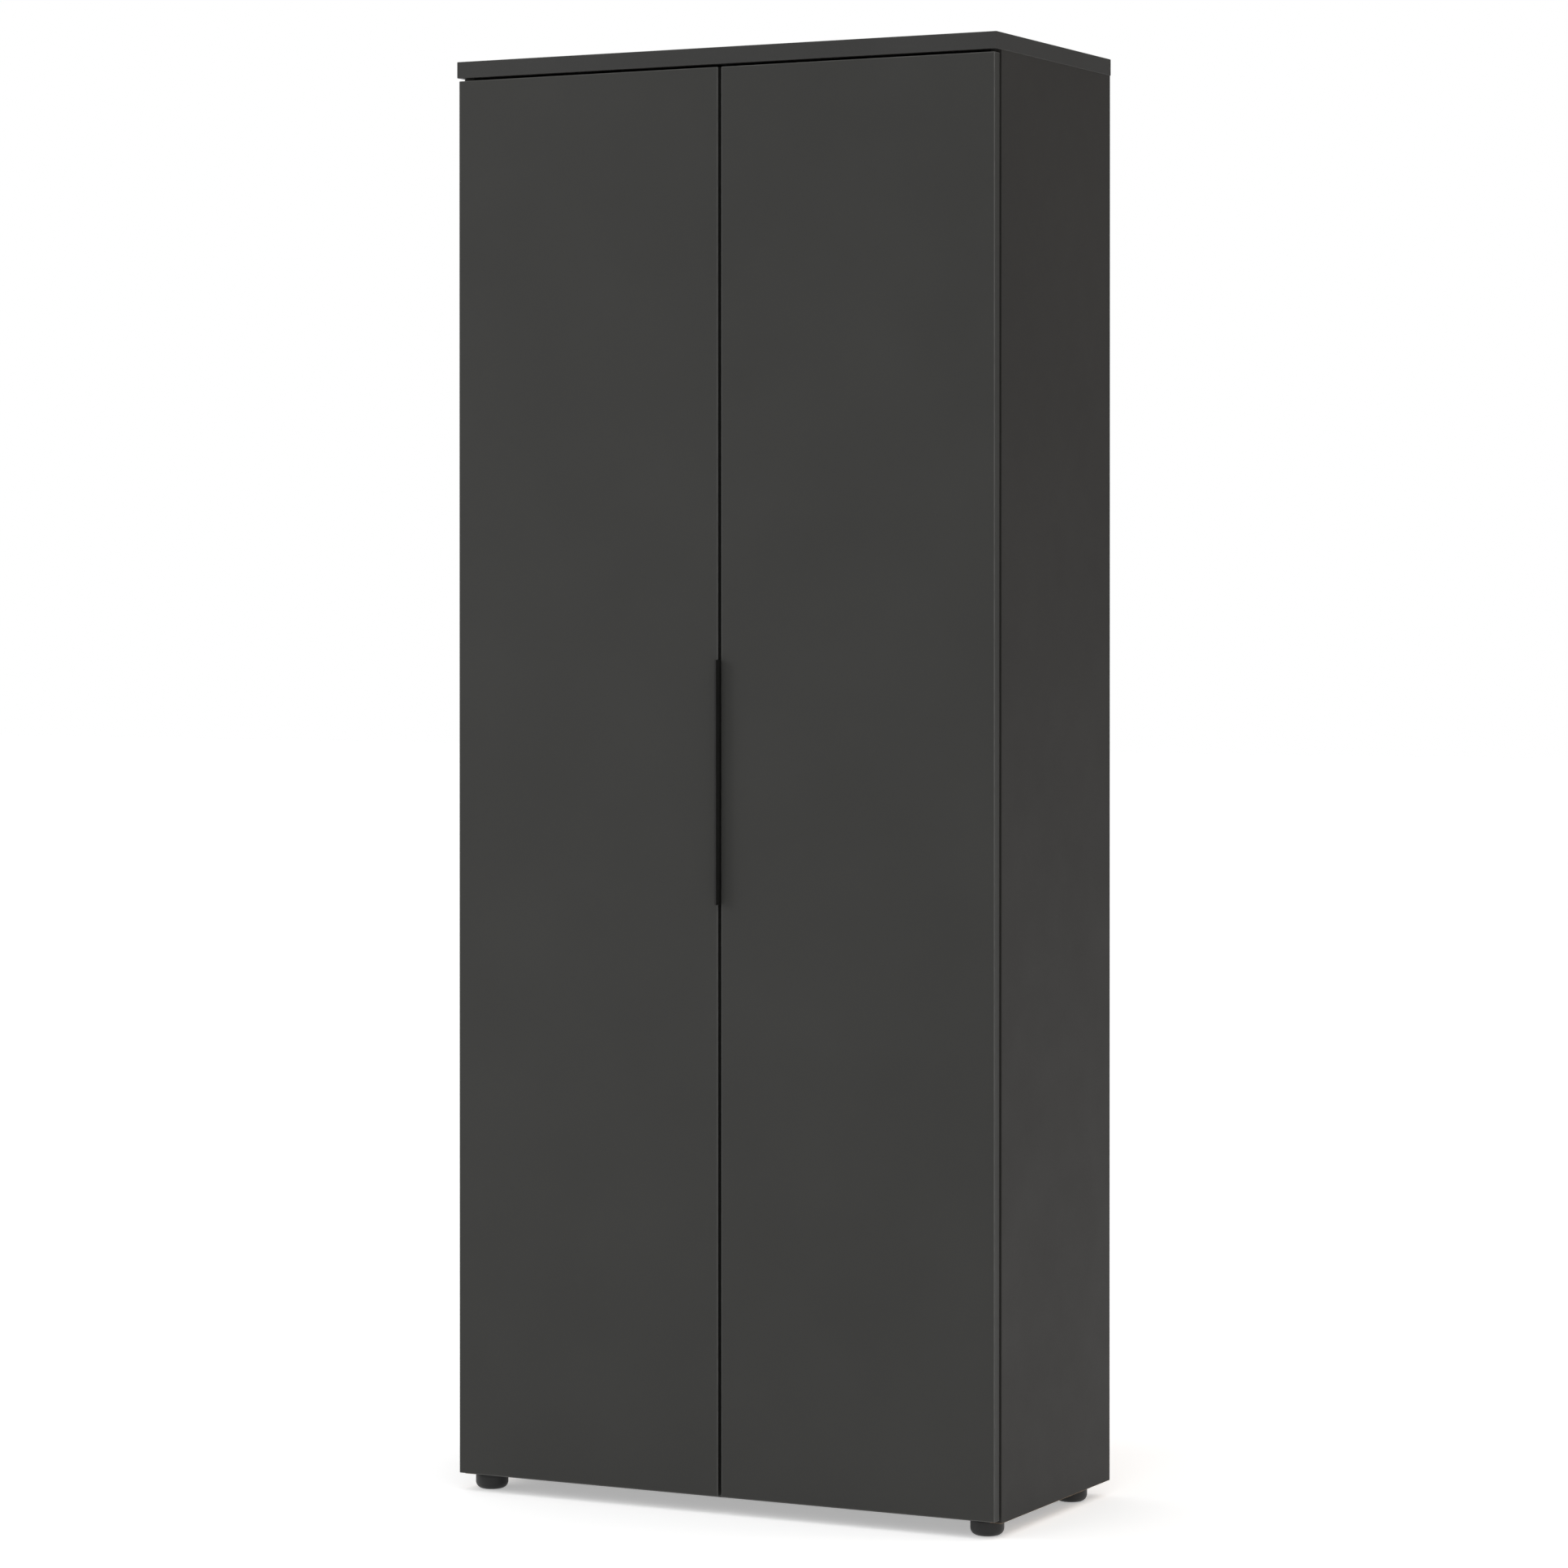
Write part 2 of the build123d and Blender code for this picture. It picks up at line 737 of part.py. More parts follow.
# ------------------------------------------------------------------ hinges
def hinge_cup(s, z):
    """A die-cast cup with a pocket for the arm, a cross bore for the pin and a flange."""
    pocket_outer = pivot_x + eye_radius + pocket_room
    pocket_inner = arm_face_x - pocket_end_room
    pocket_half = neck_width / 2 + pocket_room
    pocket_x = sorted((s * pocket_inner, s * pocket_outer))
    with BuildPart() as cup:
        with BuildSketch(Plane(origin=(s * cup_x, door_back, z), z_dir=(0, 1, 0))):
            Circle(cup_radius)
        extrude(amount=-cup_depth)
        with BuildSketch(Plane(origin=(s * cup_x, door_back, z), x_dir=(1, 0, 0), z_dir=(0, 1, 0))):
            with Locations((s * (cup_screw_x - cup_x), 0)):
                RectangleRounded(
                    flange_width, flange_length, flange_width / 2 - flange_corner_flat
                )
            Circle(flange_width / 2 + flange_bulge)
        extrude(amount=flange_thickness)
        carve(
            (pocket_x[0], door_back - cup_depth + cup_floor, z - pocket_half),
            (pocket_x[1], door_back + 2 * flange_thickness, z + pocket_half),
        )
        drill([outward((s * pivot_x, pivot_y, z + pivot_pin_length / 2), (0, 0, 1))],
              pivot_radius, pivot_pin_length)
        drill([p for p in cup_screw_planes(s) if abs(p.origin.Z - z) < flange_length],
              screw_radius + hole_room, 2 * flange_thickness)
    return cup


def hinge_arm(s, z):
    """A goose-necked arm: an eye on the pin, a hooked neck and a channel on the plate."""
    hook_low = door_back - cup_depth + cup_floor + neck_floor_room
    with BuildPart() as arm:
        with BuildSketch(Plane.XY.offset(z - neck_width / 2)) as neck:
            with Locations((s * pivot_x, pivot_y)):
                Circle(eye_radius)
            with BuildLine():
                Polyline(
                    (s * pivot_x, hook_low),
                    (s * arm_face_x, hook_low),
                    (s * arm_face_x, arm_front + arm_thickness),
                    (s * arm_back_x, arm_front + arm_thickness),
                    (s * arm_back_x, hook_low + arm_thickness),
                    (s * pivot_x, hook_low + arm_thickness),
                    close=True,
                )
            make_face()
            outer_bend = neck.vertices().sort_by_distance((s * arm_face_x, hook_low, 0))[0]
            fillet(outer_bend, 2 * arm_thickness)
            inner_bend = neck.vertices().sort_by_distance(
                (s * arm_back_x, hook_low + arm_thickness, 0)
            )[0]
            fillet(inner_bend, arm_thickness)
            with Locations((s * pivot_x, pivot_y)):
                Circle(pivot_radius + pivot_room, mode=Mode.SUBTRACT)
        extrude(amount=neck_width)
        with BuildSketch(Plane(origin=(s * arm_face_x, arm_front, z), x_dir=(0, 1, 0), z_dir=(s, 0, 0))):
            with Locations((arm_length / 2, 0)):
                RectangleRounded(arm_length, arm_width, arm_corner_radius)
        extrude(amount=arm_thickness)
        rim_outer = arm_face_x + arm_thickness + arm_rim
        rim_x = sorted((s * (arm_face_x + arm_thickness / 2), s * rim_outer))
        rim_thickness = (arm_width - plate_rail_width) / 2 - arm_rim_room
        for edge in (-1, 1):
            rim_z = sorted((edge * arm_width / 2, edge * (arm_width / 2 - rim_thickness)))
            with Locations(Vector(rim_x[0], arm_front + arm_rim_setback, z + rim_z[0])):
                Box(
                    rim_x[1] - rim_x[0],
                    arm_length - 2 * arm_rim_setback,
                    rim_thickness,
                    align=Align.MIN,
                )
        drill([outward((s * arm_face_x, plate_y, z), (-s, 0, 0))],
              screw_radius + hole_room, 2 * arm_thickness)
    return arm


def hinge_plate(s, z):
    """A cross-shaped mounting plate: a rail under the arm and two screwed wings."""
    with BuildPart() as plate:
        with BuildSketch(Plane(origin=(s * side_inner, plate_y, z), x_dir=(0, 1, 0), z_dir=(-s, 0, 0))):
            RectangleRounded(plate_wing_width, plate_wing_length, plate_wing_corner_radius)
        extrude(amount=plate_wing_thickness)
        with BuildSketch(
            Plane(origin=(s * side_inner, arm_front, z), x_dir=(0, 1, 0), z_dir=(-s, 0, 0))
        ):
            with Locations((plate_rail_setback + plate_rail_length / 2, 0)):
                RectangleRounded(plate_rail_length, plate_rail_width, plate_rail_corner_radius)
        extrude(amount=plate_rail_height)
        drill([p for p in plate_screw_planes(s) if abs(p.origin.Z - z) < pitch],
              screw_radius + hole_room, 2 * plate_wing_thickness)
        drill([outward((s * arm_back_x, plate_y, z), (-s, 0, 0))],
              screw_radius + hole_room, machine_screw_length - arm_thickness + plate_hole_room)
    return plate


with BuildPart() as pivot_pin:
    Cylinder(pivot_radius, pivot_pin_length)
    chamfer(pivot_pin.faces().filter_by(Axis.Z).edges(), pivot_pin_chamfer)

for side_name, s in sides.items():
    for number, z in enumerate(hinge_levels, start=1):
        keep(hinge_cup(s, z), f"hinge_cup_{side_name}_{number}")
        keep(hinge_arm(s, z), f"hinge_arm_{side_name}_{number}")
        keep(hinge_plate(s, z), f"hinge_plate_{side_name}_{number}")
    placed(
        pivot_pin,
        f"hinge_pins_{side_name}",
        [outward((s * pivot_x, pivot_y, z), (0, 0, 1)) for z in hinge_levels],
    )

placed(
    arm_screw,
    "arm_screws",
    [outward((s * arm_face_x, plate_y, z), (-s, 0, 0)) for s in sides.values() for z in hinge_levels],
)
placed(
    board_screw,
    "board_screws",
    plate_screw_planes(-1) + plate_screw_planes(1) + rail_screw_planes + angle_screw_planes,
)
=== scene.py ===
"""A tall two-door wardrobe in graphite board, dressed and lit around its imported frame.

The boards, doors, hinges and fittings are the frame's own nodes with procedural finishes.
The four glides and the door's edge pull are modelled here and stand for their nodes.
"""

from __future__ import annotations

import logging
import math
from collections.abc import Callable
from dataclasses import dataclass, field
from enum import Enum

import bpy
from mathutils import Euler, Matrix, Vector

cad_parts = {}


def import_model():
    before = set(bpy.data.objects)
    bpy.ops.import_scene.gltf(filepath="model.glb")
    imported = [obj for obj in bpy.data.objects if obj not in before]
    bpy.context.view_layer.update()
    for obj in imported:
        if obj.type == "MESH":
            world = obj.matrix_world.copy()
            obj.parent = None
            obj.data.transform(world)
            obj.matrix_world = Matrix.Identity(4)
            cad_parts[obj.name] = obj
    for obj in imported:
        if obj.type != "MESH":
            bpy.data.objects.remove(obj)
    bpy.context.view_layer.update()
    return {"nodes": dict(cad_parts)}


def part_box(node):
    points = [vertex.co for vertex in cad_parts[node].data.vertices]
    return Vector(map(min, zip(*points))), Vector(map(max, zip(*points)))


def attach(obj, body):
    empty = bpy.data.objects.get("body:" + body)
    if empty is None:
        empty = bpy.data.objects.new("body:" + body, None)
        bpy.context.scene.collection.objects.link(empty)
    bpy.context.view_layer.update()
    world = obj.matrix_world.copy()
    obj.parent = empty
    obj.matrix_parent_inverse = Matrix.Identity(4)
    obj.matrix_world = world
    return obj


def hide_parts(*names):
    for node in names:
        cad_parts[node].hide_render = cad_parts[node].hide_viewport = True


LOG = logging.getLogger("wardrobe")
MM = 0.001
NEAR = 0.1 * MM  # points this close are in the same place
MERGE_GAP = 0.001 * MM
FACING = 0.9  # a normal with this share along an axis faces that way

Colour = tuple[float, float, float]
Scale = tuple[float, float, float]
Span = tuple[float, float]
Test = Callable[[Vector, Vector], bool]
Socket = bpy.types.NodeSocket

NOISE_SPAN: Span = (0.3, 0.7)  # noise values mostly lie between these


class Body(Enum):
    """The rigid bodies of the frame."""

    CARCASS = "carcass"
    LEFT_DOOR = "left_door"
    RIGHT_DOOR = "right_door"


class RawEnds(Enum):
    """Which faces of a board show its chipboard core instead of decor."""

    NONE = "none"
    REAR = "rear"
    REAR_AND_FOOT = "rear and foot"


def scaled(colour: Colour, share: float) -> Colour:
    """A colour with every channel multiplied by a share."""
    return tuple(channel * share for channel in colour)


# ---------------------------------------------------------------------------- node graphs
class Graph:
    """A material's node tree, with short calls for the nodes that the finishes share."""

    def __init__(self, name: str) -> None:
        """Start an empty material.

        Args:
            name: The material's name.
        """
        self.material = bpy.data.materials.new(name)
        self.material.use_nodes = True
        self.tree = self.material.node_tree
        self.tree.nodes.clear()
        self.shader = self.node("ShaderNodeBsdfPrincipled")
        output = self.node("ShaderNodeOutputMaterial")
        self.link(self.shader.outputs["BSDF"], output.inputs["Surface"])
        self.place = self.node("ShaderNodeTexCoord").outputs["Object"]

    def node(self, kind: str, **settings: object) -> bpy.types.Node:
        """Add a node.

        Args:
            kind: The node's type.
            **settings: Attributes to set on it.

        Returns:
            The new node.
        """
        made = self.tree.nodes.new(kind)
        for name, value in settings.items():
            setattr(made, name, value)
        return made

    def link(self, source: Socket, target: Socket) -> None:
        """Join two sockets."""
        self.tree.links.new(source, target)

    def feed(self, socket: Socket, value: Socket | float | tuple) -> None:
        """Give an input either a link or a constant.

        Args:
            socket: The input.
            value: A socket to link, or the constant itself.
        """
        if isinstance(value, Socket):
            self.link(value, socket)
        else:
            socket.default_value = value

    def math(self, operation: str, first: Socket | float, second: Socket | float = 0.0) -> Socket:
        """Add a Math node.

        Args:
            operation: Its operation.
            first: The first input, a socket or a number.
            second: The second input, a socket or a number.

        Returns:
            The result's socket.
        """
        made = self.node("ShaderNodeMath", operation=operation)
        self.feed(made.inputs[0], first)
        self.feed(made.inputs[1], second)
        return made.outputs[0]

    def stretched(self, scale: Scale) -> Socket:
        """Object coordinates stretched by a factor along each axis.

        Args:
            scale: The factor along each axis.

        Returns:
            The stretched coordinates.
        """
        mapping = self.node("ShaderNodeMapping")
        mapping.inputs["Scale"].default_value = scale
        self.link(self.place, mapping.inputs["Vector"])
        return mapping.outputs["Vector"]

    def noise(
        self,
        per_metre: float,
        detail: float = 2.0,
        rough: float = 0.5,
        where: Socket | None = None,
    ) -> Socket:
        """Noise in metres on Object coordinates.

        Args:
            per_metre: How many features fit in a metre.
            detail: Octaves of finer noise.
            rough: Weight of the finer octaves.
            where: Coordinates to use in place of the plain ones.

        Returns:
            The noise's value, about 0.5 on average.
        """
        made = self.node("ShaderNodeTexNoise")
        made.inputs["Scale"].default_value = per_metre
        made.inputs["Detail"].default_value = detail
        made.inputs["Roughness"].default_value = rough
        self.link(where or self.place, made.inputs["Vector"])
        return made.outputs["Fac"]

    def spread(self, value: Socket, low: float, high: float, start: float, end: float) -> Socket:
        """Map a value from one range to another, held at the ends.

        Args:
            value: The value.
            low: Start of its range.
            high: End of its range.
            start: What the start becomes.
            end: What the end becomes.

        Returns:
            The mapped value.
        """
        made = self.node("ShaderNodeMapRange")
        self.link(value, made.inputs["Value"])
        for socket, number in zip(made.inputs[1:5], (low, high, start, end)):
            socket.default_value = number
        return made.outputs["Result"]

    def blend(self, amount: Socket | float, first: Socket | Colour, second: Socket | Colour) -> Socket:
        """Mix two colours.

        Args:
            amount: Share of the second, a socket or a number.
            first: The first colour, a socket or RGB.
            second: The second colour, a socket or RGB.

        Returns:
            The mixed colour.
        """
        made = self.node("ShaderNodeMix", data_type="RGBA")
        self.feed(made.inputs[0], amount)
        for socket, value in ((made.inputs[6], first), (made.inputs[7], second)):
            self.feed(socket, (*value, 1.0) if isinstance(value, tuple) else value)
        return made.outputs[2]

    def bump(self, height: Socket, depth: float, strength: float = 1.0) -> None:
        """Give the shader a bumped normal, on top of any bump that it has.

        Args:
            height: The height's pattern, from 0 to 1.
            depth: Its depth in metres.
            strength: Its share.
        """
        made = self.node("ShaderNodeBump")
        made.inputs["Strength"].default_value = strength
        made.inputs["Distance"].default_value = depth
        self.link(height, made.inputs["Height"])
        normal = self.shader.inputs["Normal"]
        if normal.links:
            self.link(normal.links[0].from_socket, made.inputs["Normal"])
        self.link(made.outputs["Normal"], normal)

    def set(self, **values: Socket | float | tuple) -> None:
        """Feed the shader's inputs, named with underscores for spaces."""
        for name, value in values.items():
            self.feed(self.shader.inputs[name.replace("_", " ")], value)

    def face_gaps(self, low: Vector, high: Vector) -> list[Socket]:
        """How far a point lies behind the nearer of a box's two faces, along each axis.

        Args:
            low: The box's lowest corner.
            high: Its highest corner.

        Returns:
            The three distances in metres, along X, Y and Z.
        """
        split = self.node("ShaderNodeSeparateXYZ")
        self.link(self.place, split.inputs[0])
        gaps = []
        for axis in range(3):
            off = self.math("SUBTRACT", split.outputs[axis], (low[axis] + high[axis]) / 2)
            half = (high[axis] - low[axis]) / 2
            gaps.append(self.math("SUBTRACT", half, self.math("ABSOLUTE", off)))
        return gaps

    def edge_distance(self, gaps: list[Socket]) -> Socket:
        """How far a point on a box's skin lies from the nearest edge: the middle gap of three.

        Args:
            gaps: The three gaps to the box's faces.

        Returns:
            The distance in metres.
        """
        smaller = self.math("MINIMUM", gaps[0], gaps[1])
        larger = self.math("MAXIMUM", gaps[0], gaps[1])
        return self.math("MAXIMUM", smaller, self.math("MINIMUM", larger, gaps[2]))

    def depth_inside(self, gaps: list[Socket]) -> Socket:
        """How deep a point lies inside a box, as on the wall of a hole: the smallest gap.

        Args:
            gaps: The three gaps to the box's faces.

        Returns:
            The depth in metres.
        """
        return self.math("MINIMUM", self.math("MINIMUM", gaps[0], gaps[1]), gaps[2])


# ---------------------------------------------------------------------------- finishes
@dataclass(frozen=True)
class ChipboardCore:
    """The raw core of a board, where no decor covers it."""

    light: Colour = (0.42, 0.29, 0.17)
    dark: Colour = (0.17, 0.10, 0.055)
    flakes_per_metre: float = 420.0
    flake_shape: Scale = (1.0, 1.0, 0.45)

    def colour(self, graph: Graph) -> Socket:
        """The pressed flakes' colour.

        Args:
            graph: The material that it is for.

        Returns:
            The colour's socket.
        """
        cells = graph.node("ShaderNodeTexVoronoi")
        cells.inputs["Scale"].default_value = self.flakes_per_metre
        graph.link(graph.stretched(self.flake_shape), cells.inputs["Vector"])
        grey = graph.node("ShaderNodeSeparateColor")
        graph.link(cells.outputs["Color"], grey.inputs[0])
        return graph.blend(grey.outputs[0], self.light, self.dark)


@dataclass(frozen=True)
class Melamine:
    """Matt decor foil on chipboard: fine peel, faint clouding and lighter edges, partly rubbed wear
    and partly a painted highlight.
    """

    name: str
    colour: Colour
    # Edge colour: partly rubbed wear, partly a painted highlight on the rounded edges; the specks use
    # it too.
    rub_and_highlight: Colour
    roughness: float = 0.52
    specular: float = 0.22
    cloud: float = 0.06
    clouds_per_metre: float = 5.0
    speckle: float = 0.2
    specks_per_metre: float = 1700.0
    speck_span: Span = (0.35, 0.7)
    edge_band: float = 0.9 * MM
    rub_and_highlight_breaks_per_metre: float = 60.0
    rub_and_highlight_break_span: Span = (0.3, 0.62)
    least_rub_and_highlight: float = 0.6
    smudge: float = 0.03
    smudges_per_metre: float = 11.0
    smudge_span: Span = (0.3, 0.75)
    peel_per_metre: float = 750.0
    peel_depth: float = 0.05 * MM
    peel_share: float = 0.35
    waves_per_metre: float = 9.0
    wave_depth: float = 0.25 * MM
    wave_share: float = 0.05
    foil: float = 0.6 * MM
    bare_rear: float = 0.4 * MM
    bare_foot: float = 0.3 * MM
    raw: RawEnds = RawEnds.NONE
    core: ChipboardCore = ChipboardCore()

    def build(self, node: str) -> bpy.types.Material:
        """Make the finish for one board.

        Args:
            node: The board's node, whose box places its edges.

        Returns:
            The material.
        """
        low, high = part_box(node)
        graph = Graph(f"{self.name}_{node}")
        clouding = graph.spread(graph.noise(self.clouds_per_metre, 3.0), *NOISE_SPAN, 0.0, 1.0)
        darker = scaled(self.colour, 1 - self.cloud)
        lighter = scaled(self.colour, 1 + self.cloud)
        base = graph.blend(clouding, darker, lighter)
        specks = graph.noise(self.specks_per_metre, 1.0)
        dots = graph.spread(specks, *self.speck_span, 0.0, self.speckle)
        base = graph.blend(dots, base, self.rub_and_highlight)
        gaps = graph.face_gaps(low, high)
        # Lighten the edges: partly rubbed wear, partly a painted highlight where the rounded edges
        # catch light.
        edge_rub_and_highlight = graph.spread(graph.edge_distance(gaps), 0.0, self.edge_band, 1.0, 0.0)
        breaks = graph.noise(self.rub_and_highlight_breaks_per_metre, 4.0, 0.6)
        broken = graph.spread(breaks, *self.rub_and_highlight_break_span, self.least_rub_and_highlight, 1.0)
        edge_rub_and_highlight = graph.math("MULTIPLY", edge_rub_and_highlight, broken)
        colour = graph.blend(edge_rub_and_highlight, base, self.rub_and_highlight)
        bare = graph.math("GREATER_THAN", graph.depth_inside(gaps), self.foil)
        if self.raw is not RawEnds.NONE:
            bare = graph.math("MAXIMUM", bare, self.bare_ends(graph, low, high))
        colour = graph.blend(bare, colour, self.core.colour(graph))
        smudges = graph.noise(self.smudges_per_metre, 5.0, 0.65)
        smudge = graph.spread(smudges, *self.smudge_span, -self.smudge, self.smudge)
        graph.set(
            Base_Color=colour,
            Roughness=graph.math("ADD", smudge, self.roughness),
            Specular_IOR_Level=self.specular,
        )
        graph.bump(graph.noise(self.peel_per_metre, 2.0, 0.45), self.peel_depth, self.peel_share)
        graph.bump(graph.noise(self.waves_per_metre, 1.0), self.wave_depth, self.wave_share)
        return graph.material

    def bare_ends(self, graph: Graph, low: Vector, high: Vector) -> Socket:
        """Where the board's outside shows its core: 1 on bare ends, 0 elsewhere.

        Args:
            graph: The material.
            low: The board's lowest corner.
            high: Its highest corner.

        Returns:
            The mask's socket.
        """
        split = graph.node("ShaderNodeSeparateXYZ")
        graph.link(graph.place, split.inputs[0])
        mask = graph.math("GREATER_THAN", split.outputs["Y"], high.y - self.bare_rear)
        if self.raw is RawEnds.REAR_AND_FOOT:
            foot = graph.math("LESS_THAN", split.outputs["Z"], low.z + self.bare_foot)
            mask = graph.math("MAXIMUM", mask, foot)
        return mask


@dataclass(frozen=True)
class Hardboard:
    """Thin pressed fibre sheet: printed on its inner face, raw and brown behind."""

    name: str = "hardboard"
    print_colour: Colour = (0.036, 0.036, 0.034)
    raw_light: Colour = (0.30, 0.185, 0.105)
    raw_dark: Colour = (0.175, 0.098, 0.05)
    print_depth: float = 0.3 * MM
    fibres_per_metre: float = 520.0
    fibre_shape: Scale = (0.35, 1.0, 1.0)
    fibre_share: float = 0.8
    fibre_depth: float = 0.06 * MM
    clouds_per_metre: float = 14.0
    cloud_share: float = 0.35
    tone_span: Span = (0.35, 0.8)
    shine_span: Span = (0.2, 0.8)
    smoothest: float = 0.5
    roughest: float = 0.68
    specular: float = 0.35

    def build(self, node: str) -> bpy.types.Material:
        """Make the finish for one sheet, whose print is a thin layer on the inner face.

        Args:
            node: The sheet's node.

        Returns:
            The material.
        """
        low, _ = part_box(node)
        graph = Graph(f"{self.name}_{node}")
        split = graph.node("ShaderNodeSeparateXYZ")
        graph.link(graph.place, split.inputs[0])
        behind = graph.math("GREATER_THAN", split.outputs["Y"], low.y + self.print_depth)
        fibres = graph.noise(self.fibres_per_metre, 5.0, 0.7, graph.stretched(self.fibre_shape))
        clouds = graph.noise(self.clouds_per_metre, 3.0)
        tone = graph.math("MULTIPLY_ADD", fibres, self.fibre_share)
        graph.feed(tone.node.inputs[2], graph.math("MULTIPLY", clouds, self.cloud_share))
        lightness = graph.spread(tone, *self.tone_span, 0.0, 1.0)
        raw = graph.blend(lightness, self.raw_dark, self.raw_light)
        graph.set(
            Base_Color=graph.blend(behind, self.print_colour, raw),
            Roughness=graph.spread(fibres, *self.shine_span, self.smoothest, self.roughest),
            Specular_IOR_Level=self.specular,
        )
        graph.bump(fibres, self.fibre_depth, 0.5)
        return graph.material


@dataclass(frozen=True)
class Coating:
    """A sprayed or moulded skin: one colour, a fine texture and a worn shine on top."""

    name: str
    colour: Colour
    roughness: float
    texture_per_metre: float = 1600.0
    texture_depth: float = 0.04 * MM
    dust_per_metre: float = 35.0
    dust_share: float = 0.24
    dust_lift: float = 0.001
    wear_per_metre: float = 70.0
    wear: float = 0.06
    specular: float = 0.5

    def build(self, node: str) -> bpy.types.Material:
        """Make the finish.

        Args:
            node: The piece that it is for.

        Returns:
            The material.
        """
        graph = Graph(f"{self.name}_{node}")
        dust = graph.spread(graph.noise(self.dust_per_metre, 4.0, 0.6), *NOISE_SPAN, 0.0, 1.0)
        dusty = tuple(c * (1 + self.dust_share) + self.dust_lift for c in self.colour)
        worn = graph.noise(self.wear_per_metre, 3.0)
        smoothest, roughest = self.roughness - self.wear, self.roughness + self.wear
        graph.set(
            Base_Color=graph.blend(dust, self.colour, dusty),
            Roughness=graph.spread(worn, *NOISE_SPAN, smoothest, roughest),
            Specular_IOR_Level=self.specular,
        )
        graph.bump(graph.noise(self.texture_per_metre, 2.0, 0.5), self.texture_depth, 0.6)
        return graph.material


@dataclass(frozen=True)
class PlatedMetal:
    """Bright plated metal with drawn or cast texture and slightly dulled patches."""

    name: str
    colour: Colour
    roughness: float
    drawn: Scale = (1.0, 1.0, 1.0)
    texture_per_metre: float = 900.0
    texture_depth: float = 0.015 * MM
    polish: float = 0.05
    scuff: float = 0.07
    patches_per_metre: float = 90.0
    patch_span: Span = (0.35, 0.7)
    patch_tone: float = 0.82
    patch_haze: float = 0.06

    def build(self, node: str) -> bpy.types.Material:
        """Make the finish.

        Args:
            node: The piece that it is for.

        Returns:
            The material.
        """
        graph = Graph(f"{self.name}_{node}")
        patches = graph.noise(self.patches_per_metre, 4.0, 0.6)
        tarnish = graph.spread(patches, *self.patch_span, 0.0, 1.0)
        lines = graph.noise(self.texture_per_metre, 2.0, 0.5, graph.stretched(self.drawn))
        smoothest, roughest = self.roughness - self.polish, self.roughness + self.scuff
        shine = graph.spread(lines, *NOISE_SPAN, smoothest, roughest)
        haze = graph.math("MULTIPLY", tarnish, self.patch_haze)
        graph.set(
            Base_Color=graph.blend(tarnish, self.colour, scaled(self.colour, self.patch_tone)),
            Metallic=1.0,
            Roughness=graph.math("ADD", shine, haze),
        )
        graph.bump(lines, self.texture_depth, 0.5)
        return graph.material


@dataclass(frozen=True)
class Beech:
    """Turned beech with fine grain along the dowel."""

    name: str = "beech"
    light: Colour = (0.56, 0.38, 0.22)
    dark: Colour = (0.38, 0.22, 0.11)
    grain_per_metre: float = 900.0
    grain_shape: Scale = (0.15, 1.0, 1.0)
    grain_depth: float = 0.05 * MM
    smoothest: float = 0.5
    roughest: float = 0.65

    def build(self, node: str) -> bpy.types.Material:
        """Make the finish.

        Args:
            node: The piece that it is for.

        Returns:
            The material.
        """
        graph = Graph(f"{self.name}_{node}")
        grain = graph.noise(self.grain_per_metre, 4.0, 0.6, graph.stretched(self.grain_shape))
        tone = graph.spread(grain, *NOISE_SPAN, 0.0, 1.0)
        graph.set(
            Base_Color=graph.blend(tone, self.light, self.dark),
            Roughness=graph.spread(grain, *NOISE_SPAN, self.smoothest, self.roughest),
        )
        graph.bump(grain, self.grain_depth, 0.5)
        return graph.material


@dataclass(frozen=True)
class Silicone:
    """Soft clear silicone, slightly cloudy."""

    name: str = "silicone"
    colour: Colour = (0.72, 0.73, 0.72)
    haze_per_metre: float = 400.0
    haze_tone: float = 0.85
    haze_depth: float = 0.02 * MM
    smoothest: float = 0.25
    roughest: float = 0.4
    clear: float = 0.55
    refraction: float = 1.41

    def build(self, node: str) -> bpy.types.Material:
        """Make the finish.

        Args:
            node: The piece that it is for.

        Returns:
            The material.
        """
        graph = Graph(f"{self.name}_{node}")
        haze = graph.noise(self.haze_per_metre, 2.0)
        graph.set(
            Base_Color=graph.blend(haze, self.colour, scaled(self.colour, self.haze_tone)),
            Roughness=graph.spread(haze, *NOISE_SPAN, self.smoothest, self.roughest),
            Transmission_Weight=self.clear,
            IOR=self.refraction,
        )
        graph.bump(haze, self.haze_depth, 0.4)
        return graph.material


Finish = Melamine | Hardboard | Coating | PlatedMetal | Beech | Silicone


